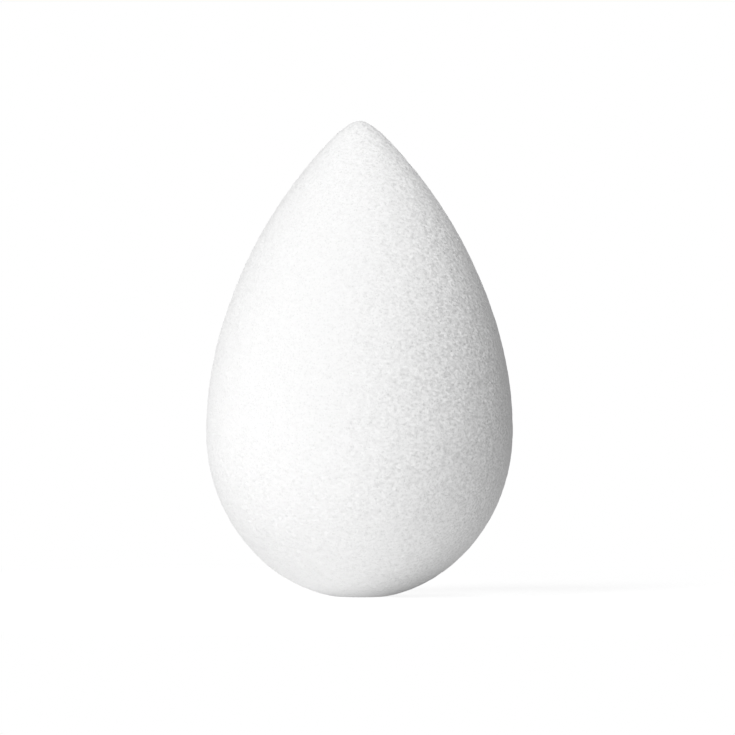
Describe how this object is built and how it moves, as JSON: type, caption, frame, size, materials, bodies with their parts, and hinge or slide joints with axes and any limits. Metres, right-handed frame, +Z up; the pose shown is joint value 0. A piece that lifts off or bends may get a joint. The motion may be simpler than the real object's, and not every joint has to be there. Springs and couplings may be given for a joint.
{
  "type": "makeup sponge",
  "caption": "Teardrop makeup sponge of white open-cell foam, with a blunt pointed tip, a round belly and a small flat to stand on, for dabbing and blending makeup.",
  "frame": {"origin": "middle of the small flat that the sponge stands on", "axes": "+Z up along the sponge's axis, from the flat to the tip; the sponge is round about +Z, so +X and +Y are free choices"},
  "size_m": [0.0392, 0.0392, 0.061],
  "materials": {
    "white_foam": "open-cell matte"
  },
  "bodies": {
    "root": {"sponge_body": "white_foam"}
  },
  "joints": []
}
